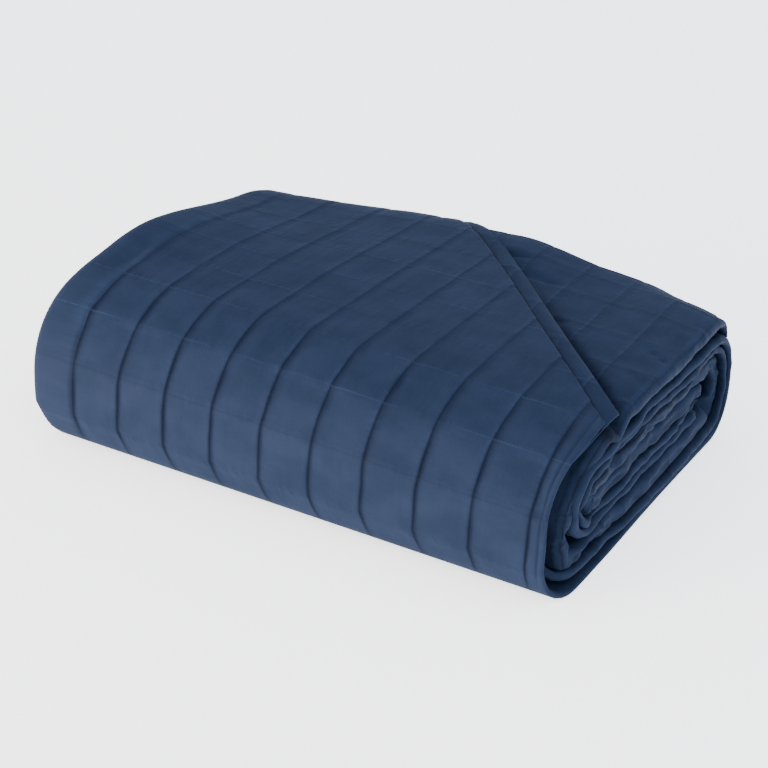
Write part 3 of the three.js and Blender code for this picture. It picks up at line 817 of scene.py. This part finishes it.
# What a material's formulas can ask for: the kind of node, its settings, its inputs in order and
# its output. Any other action is an operation of arithmetic.
ACTIONS = {
    "cloth": ("ShaderNodeUVMap", {"uv_map": "cloth"}, (), 0),
    "across": ("ShaderNodeSeparateXYZ", {}, ("Vector",), 0),
    "along": ("ShaderNodeSeparateXYZ", {}, ("Vector",), 1),
    "fade": ("ShaderNodeMapRange", {"interpolation_type": "SMOOTHSTEP"},
             ("Value", "From Min", "From Max"), 0),
    "scaled": ("ShaderNodeMapping", {}, ("Vector", "Scale"), 0),
    "clouds": ("ShaderNodeTexNoise", {"noise_dimensions": "2D"}, ("Vector", "Scale", "Detail"), 0),
    "dyed": ("ShaderNodeMix", {"data_type": "RGBA"}, (0, 6, 7), 2),
    "raised": ("ShaderNodeBump", {}, ("Strength", "Distance", "Height", "Normal"), 0),
    "face": ("ShaderNodeBsdfPrincipled", {},
             ("Base Color", "Normal", "Roughness", "IOR", "Specular IOR Level", "Sheen Weight",
              "Sheen Roughness", "Sheen Tint"), 0),
    "shown": ("ShaderNodeOutputMaterial", {}, ("Surface",), 0),
}
# Clouds of the cotton: their length in millimetres across and along the sheet, and their detail.
# Puckers stand square to the stitching that gathers them. Threads lie 0.35 mm apart, too fine for
# the picture, so they are drawn 1.3 mm apart.
CLOUDS = {
    "patchiness": (90, 40, 1.0),
    "slubs": (46, 31, 4.0),
    "seam_puckers": (26, 7, 1.0),
    "row_puckers": (7, 26, 1.0),
    "drag": (14, 70, 2.0),
    "rumples": (30, 30, 3.0),
    "weft": (1.3, 4.0, 0.0),
    "warp": (4.0, 1.3, 0.0),
}
COTTON = {"roughness": 0.72, "ior": 1.45, "gloss": 0.05, "sheen": 0.06, "sheen_roughness": 0.5}
WRINKLES, WEAVE = (0.5, 1.6 * MILLIMETRE), (0.25, 0.3 * MILLIMETRE)
# A stitch is about 3 mm long, and its thread is drawn 1 mm wide so that it shows.
STITCH_MM = 3.2
# How far in from a hem the painted shade on the faces between the plies begins and is full, in squares.
SHUT_IN = (0.08, 0.2)


def add_node(tree, made, formula):
    """Adds the node that a formula asks for, with its settings and links, and returns its output.
    A formula is an action and its inputs: values, names of formulas already made, or formulas of
    their own, whose nodes are added first. Long sums and products are taken in pairs."""
    action, *inputs = formula
    if action in ("ADD", "MULTIPLY") and len(inputs) > 2:
        inputs = [(action, *inputs[:-1]), inputs[-1]]
    arithmetic = ("ShaderNodeMath", {"operation": action}, (0, 1, 2), 0)
    kind, settings, sockets, output = ACTIONS.get(action, arithmetic)
    node = tree.nodes.new(kind)
    for name, value in settings.items():
        setattr(node, name, value)
    for socket, value in zip(sockets, inputs):
        if isinstance(value, str):
            tree.links.new(made[value], node.inputs[socket])
        elif isinstance(value, tuple) and isinstance(value[0], str):
            tree.links.new(add_node(tree, made, value), node.inputs[socket])
        else:
            node.inputs[socket].default_value = value
    return node.outputs[output] if node.outputs else None


def cloth_lines(mm):
    """Formulas of the flat sheet: distances from the seams and rows, from the right fold, and from
    the turned corner's line, on the band and on the ply under it. All are in squares."""
    band, right = PIECES[SECOND_PLY], PIECES[RIGHT_PLY]
    way_x, way_along = CORNER_WAY
    line = way_x * (CORNER["x"] + CORNER["band"]) + way_along * length_at(CORNER["place"])
    on_band = way_x * (band["x"] + OTHER_U - band["start"]) - line
    on_right = way_x * (right["x"] + right["start"]) - line
    lines = {
        "cloth": ("cloth",),
        "across": ("across", "cloth"),
        "along": ("along", "cloth"),
        "past_seam": ("FRACT", ("ADD", "across", 1 - FIRST_SEAM)),
        "before_seam": ("SUBTRACT", 1.0, "past_seam"),
        "to_seam": ("MINIMUM", "past_seam", "before_seam"),
        "to_row": ("PINGPONG", ("ADD", "along", 1 - ROW_PHASE), 0.5),
        "from_fold": ("ABSOLUTE", ("SUBTRACT", "across", RIGHT_FOLD_MIDDLE)),
        "down": ("MULTIPLY", "along", way_along),
        "on_band": ("MULTIPLY_ADD", "across", -way_x, ("ADD", "down", on_band)),
        "on_right": ("MULTIPLY_ADD", "across", -way_x, ("ADD", "down", on_right)),
    }
    for name, (wide, high, detail) in CLOUDS.items():
        scale = (1 / (wide * mm), 1 / (high * mm), 1.0)
        lines[name] = ("clouds", ("scaled", "cloth", scale), 1.0, detail)
    return lines


def cotton_formulas(dyes, mm):
    """Formulas of the cotton's dye and relief, from the sheet's lines and clouds. A fade's numbers
    are where it sets in and where it is full, in squares, and the other numbers are strengths."""
    dim, dark = SHUT_IN
    return {
        # The wadding leaves a trough on one side of a seam and a ridge on the other. Painted shade fills
        # the trough, deepest on the shoulder, and a highlight is painted on the ridge.
        "shoulder": ("MULTIPLY", ("fade", "along", 5.4, 6.6), ("fade", "along", 8.3, 7.4)),
        "trough": ("MULTIPLY", ("fade", "before_seam", 12 * mm, 0.0),
                   ("MULTIPLY_ADD", "shoulder", 0.3, 0.14)),
        # Painted shade beside each seam on the lower front.
        "front_seam_shade": ("MULTIPLY", ("fade", "before_seam", 5 * mm, 1 * mm), ("fade", "along", 7.4, 8.2),
                       0.4),
        # Painted shade along the groove of each seam, stronger from the shoulder down.
        "seam_groove_shade": ("MULTIPLY", ("fade", "to_seam", 1.6 * mm, 0.3 * mm),
                        ("MULTIPLY_ADD", ("fade", "along", 5.6, 7.6), 0.24, 0.18)),
        # Painted shade along the groove of each row.
        "row_groove_shade": ("MULTIPLY", ("fade", "to_row", 1.6 * mm, 0.3 * mm), 0.16),
        # Faces shut in between the plies see no light, from a few millimetres in from their ends.
        "shut_first": ("MULTIPLY", ("fade", "across", 10.9, 11.2), ("fade", "from_fold", 0.16, 0.3),
                       ("fade", "across", SHEET_WIDTH - dim, SHEET_WIDTH - dark)),
        "shut_other": ("MULTIPLY", ("fade", "across", OTHER_U - dim, OTHER_U - dark),
                       ("fade", "across", OTHER_U + dim - SHEET_WIDTH, OTHER_U + dark - SHEET_WIDTH)),
        "shut": ("MULTIPLY", ("MAXIMUM", "shut_first", "shut_other"), ("fade", "along", 8.2, 8.9)),
        # The turned corner's edge shades the band beside it, and the band shades the ply under it.
        "crook": ("MULTIPLY", ("fade", ("ABSOLUTE", ("ADD", "on_band", 0.29)), 0.08, 0.01),
                  ("fade", "across", -1.5, -2.0), ("fade", "along", 8.2, 7.8)),
        "under_band": ("MULTIPLY", ("fade", ("ABSOLUTE", ("SUBTRACT", "on_right", 0.06)), 0.3, 0.04),
                       ("fade", "along", 1.8, 4.2), ("fade", "along", 6.6, 5.8)),
        "shade": ("ADD", "trough", "seam_groove_shade", "row_groove_shade", "front_seam_shade", "under_band",
                  ("MULTIPLY", "crook", 0.7), ("MULTIPLY", "shut", 0.75)),
        "uneven": ("fade", "patchiness", 0.35, 0.65),
        # Painted highlight on the ridge beside each seam, patchy along it, fading out down the front.
        "ridge": ("MULTIPLY", ("fade", "past_seam", 5 * mm, 1.6 * mm),
                  ("MULTIPLY_ADD", "uneven", 0.18, 0.04), ("fade", "along", 8.2, 7.2)),
        "dashes": ("fade", ("FRACT", ("MULTIPLY", "across", 1 / (STITCH_MM * mm))), 0.8, 0.55),
        "row_line": ("MULTIPLY", ("fade", "to_row", 1.3 * mm, 0.4 * mm), ("fade", "along", 8.0, 7.3),
                     ("MULTIPLY_ADD", "uneven", 0.75, 0.25), ("fade", "across", 12.0, 11.0),
                     ("MULTIPLY_ADD", "dashes", 0.15, 0.24)),
        "cotton": ("dyed", ("fade", "slubs", 0.3, 0.7), dyes["shade"], dyes["cotton"]),
        # All the painted shade above darkens the cotton towards the crease colour.
        "creased": ("dyed", ("MINIMUM", "shade", 1.0), "cotton", dyes["crease"]),
        # The thread colour draws the row threads and the painted highlight on the seam ridges.
        "sewn": ("dyed", ("MAXIMUM", "ridge", "row_line"), "creased", dyes["thread"]),
        # Puckers die away beside the stitching, and the weave lies over all the wrinkles.
        "wrinkles": ("ADD", ("MULTIPLY", "seam_puckers", ("fade", "to_seam", 9 * mm, 0.0)),
                     ("MULTIPLY", "row_puckers", ("fade", "to_row", 8 * mm, 0.0)),
                     ("MULTIPLY", "drag", 0.8), "rumples"),
        "wrinkled": ("raised", *WRINKLES, "wrinkles"),
        "woven": ("raised", *WEAVE, ("ADD", "weft", "warp"), "wrinkled"),
        "face": ("face", "sewn", "woven", *COTTON.values(), dyes["sheen"]),
        "shown": ("shown", "face"),
    }


def stitched_cotton(colours, square):
    """Plain-weave cotton, dyed navy and washed, over thin wadding: a matt face with faint slubs,
    a fine weave, small puckers that run off the stitching, and thread a shade lighter. Shade is
    painted into the colour in the stitching grooves, between the plies and beside the turned
    corner, and a highlight is painted on the ridge beside each seam."""
    material = bpy.data.materials.new("navy_cotton_plain_weave")
    material.use_nodes = True
    tree = material.node_tree
    tree.nodes.clear()
    mm = MILLIMETRE / square
    dyes = {name: (*colour, 1.0) for name, colour in colours.items()}
    made = {}
    for name, formula in {**cloth_lines(mm), **cotton_formulas(dyes, mm)}.items():
        made[name] = add_node(tree, made, formula)
    return material


# A colour has three parts, each from none to full.
RGB = {"size": 3, "min": 0.0, "max": 1.0}


class QuiltSizes(bpy.types.PropertyGroup):
    """Sizes of the quilt, in metres"""

    square: bpy.props.FloatProperty(
        name="Stitched square", description="Distance between two lines of stitching",
        default=0.0508, unit="LENGTH")
    ply: bpy.props.FloatProperty(
        name="Cloth", description="Thickness of the quilt where it is puffed up",
        default=0.0072, unit="LENGTH")
    end_ply: bpy.props.FloatProperty(
        name="Cloth at the ends", description="Thickness of the plies where they end at the right",
        default=0.0081, unit="LENGTH")
    corner_ply: bpy.props.FloatProperty(
        name="Pressed cloth", description="Thickness of the quilt beside the turned corner",
        default=0.0024, unit="LENGTH")
    groove: bpy.props.FloatProperty(
        name="Stitching on top", description="Depth of the stitching on the top",
        default=0.0007, unit="LENGTH")
    front_groove: bpy.props.FloatProperty(
        name="Stitching in front", description="Depth of the stitching on the front",
        default=0.0022, unit="LENGTH")
    sway: bpy.props.FloatProperty(
        name="Sway of the ends", description="How far the loose ply ends wander",
        default=0.0010, unit="LENGTH")


class QuiltColours(bpy.types.PropertyGroup):
    """Colours of the quilt and of the floor"""

    cotton: bpy.props.FloatVectorProperty(
        name="Cotton", description="Colour of the navy cotton",
        default=linear("#1a2437"), subtype="COLOR", **RGB)
    shade: bpy.props.FloatVectorProperty(
        name="Cotton's darker slubs", description="Colour of the darker threads",
        default=linear("#162032"), subtype="COLOR", **RGB)
    # This colour is painted shade: it darkens the stitching grooves, the faces between the plies and the
    # cloth beside the turned corner.
    crease: bpy.props.FloatVectorProperty(
        name="Creases", description="Colour of the cotton down in the stitching",
        default=linear("#0a101e"), subtype="COLOR", **RGB)
    # This colour is the sewing thread's, and it also paints the highlight on the ridge beside each seam.
    thread: bpy.props.FloatVectorProperty(
        name="Thread", description="Colour of the sewing thread",
        default=linear("#28364f"), subtype="COLOR", **RGB)
    sheen: bpy.props.FloatVectorProperty(
        name="Sheen", description="Colour of the light that grazes the cotton",
        default=linear("#4a6390"), subtype="COLOR", **RGB)
    floor: bpy.props.FloatVectorProperty(
        name="Floor", description="Colour of the studio floor",
        default=linear("#f4f4f4"), subtype="COLOR", **RGB)


class QUILT_OT_cloth(bpy.types.Operator):
    """Builds the folded quilt in place of its plain solid"""

    bl_idname = "quilt.cloth"
    bl_label = "Folded quilt"

    def execute(self, context):
        props = context.scene.quilt_sizes
        square = props.square
        sizes = {name: getattr(props, name) / square
                 for name in ("ply", "end_ply", "corner_ply", "groove", "front_groove", "sway")}
        sizes["square"] = square
        colours = {name: tuple(getattr(context.scene.quilt_colours, name))
                   for name in ("cotton", "shade", "crease", "thread", "sheen")}
        quilt = bpy.data.objects.new("folded_quilt", quilt_mesh(sizes))
        context.scene.collection.objects.link(quilt)
        quilt.data.materials.append(stitched_cotton(colours, square))
        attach(quilt, "root")
        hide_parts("quilt")
        return {"FINISHED"}


class QUILT_OT_stage(bpy.types.Operator):
    """Sets up the pale floor, the soft studio light and the photograph's camera"""

    bl_idname = "quilt.stage"
    bl_label = "Studio"

    def execute(self, context):
        self.floor(context)
        self.lights(context)
        camera = bpy.data.objects.new("camera", bpy.data.cameras.new("camera"))
        camera.location = in_frame(*CAMERA_AT, context.scene.quilt_sizes.square)
        camera.rotation_euler = (CAMERA_TILT, 0.0, CAMERA_TURN)
        camera.data.lens = CAMERA_FOCAL_PIXELS / FRAME_PIXELS * camera.data.sensor_width
        context.scene.collection.objects.link(camera)
        context.scene.camera = camera
        return {"FINISHED"}

    def floor(self, context):
        """A wide pale floor at the quilt's foot, which glows a little so that it stays white."""
        half = FLOOR["half"]
        mesh = bpy.data.meshes.new("floor")
        corners = [(-half, -half, 0), (half, -half, 0), (half, half, 0), (-half, half, 0)]
        mesh.from_pydata(corners, [], [(0, 1, 2, 3)])
        material = bpy.data.materials.new("white_paper_floor")
        material.use_nodes = True
        shader = material.node_tree.nodes["Principled BSDF"]
        colour = (*context.scene.quilt_colours.floor, 1.0)
        settings = {"Base Color": colour, "Roughness": FLOOR["roughness"],
                    "Emission Color": FLOOR["light"], "Emission Strength": FLOOR["glow"]}
        for name, value in settings.items():
            shader.inputs[name].default_value = value
        mesh.materials.append(material)
        floor = bpy.data.objects.new("floor", mesh)
        context.scene.collection.objects.link(floor)

    def lights(self, context):
        """A pale surround, two broad warm lights low before the front and a cool one at the right."""
        world = bpy.data.worlds.new("studio_surround")
        world.use_nodes = True
        background = world.node_tree.nodes["Background"]
        background.inputs["Color"].default_value = SURROUND["colour"]
        background.inputs["Strength"].default_value = SURROUND["strength"]
        context.scene.world = world
        for name, place, width, watts, colour in LIGHTS:
            data = bpy.data.lights.new(name, "AREA")
            data.shape = "RECTANGLE"
            data.size = width
            data.size_y = LIGHT_HEIGHT_SHARE * width
            data.energy = watts
            data.color = colour
            light = bpy.data.objects.new(name, data)
            x, y, z = place
            light.location = place
            light.rotation_euler = (math.atan2(math.hypot(x, y), z), 0.0, math.atan2(x, -y))
            context.scene.collection.objects.link(light)


class QUILT_PT_panel(bpy.types.Panel):
    """Sizes, colours and steps of the folded quilt"""

    bl_idname = "QUILT_PT_panel"
    bl_label = "Folded Quilt"
    bl_space_type = "VIEW_3D"
    bl_region_type = "UI"
    bl_category = "Quilt"

    def draw(self, context):
        for group in (context.scene.quilt_sizes, context.scene.quilt_colours):
            for name in group.__annotations__:
                self.layout.prop(group, name)
        for operator in OPERATORS:
            self.layout.operator(operator.bl_idname)


GROUPS = {"quilt_sizes": QuiltSizes, "quilt_colours": QuiltColours}
OPERATORS = (QUILT_OT_cloth, QUILT_OT_stage)
CLASSES = (*GROUPS.values(), *OPERATORS, QUILT_PT_panel)


def register():
    for cls in CLASSES:
        bpy.utils.register_class(cls)
    for name, group in GROUPS.items():
        setattr(bpy.types.Scene, name, bpy.props.PointerProperty(type=group))


def unregister():
    for name in GROUPS:
        delattr(bpy.types.Scene, name)
    for cls in reversed(CLASSES):
        bpy.utils.unregister_class(cls)


def main():
    register()
    bpy.ops.quilt.cloth()
    bpy.ops.quilt.stage()


if __name__ == "__main__":
    main()
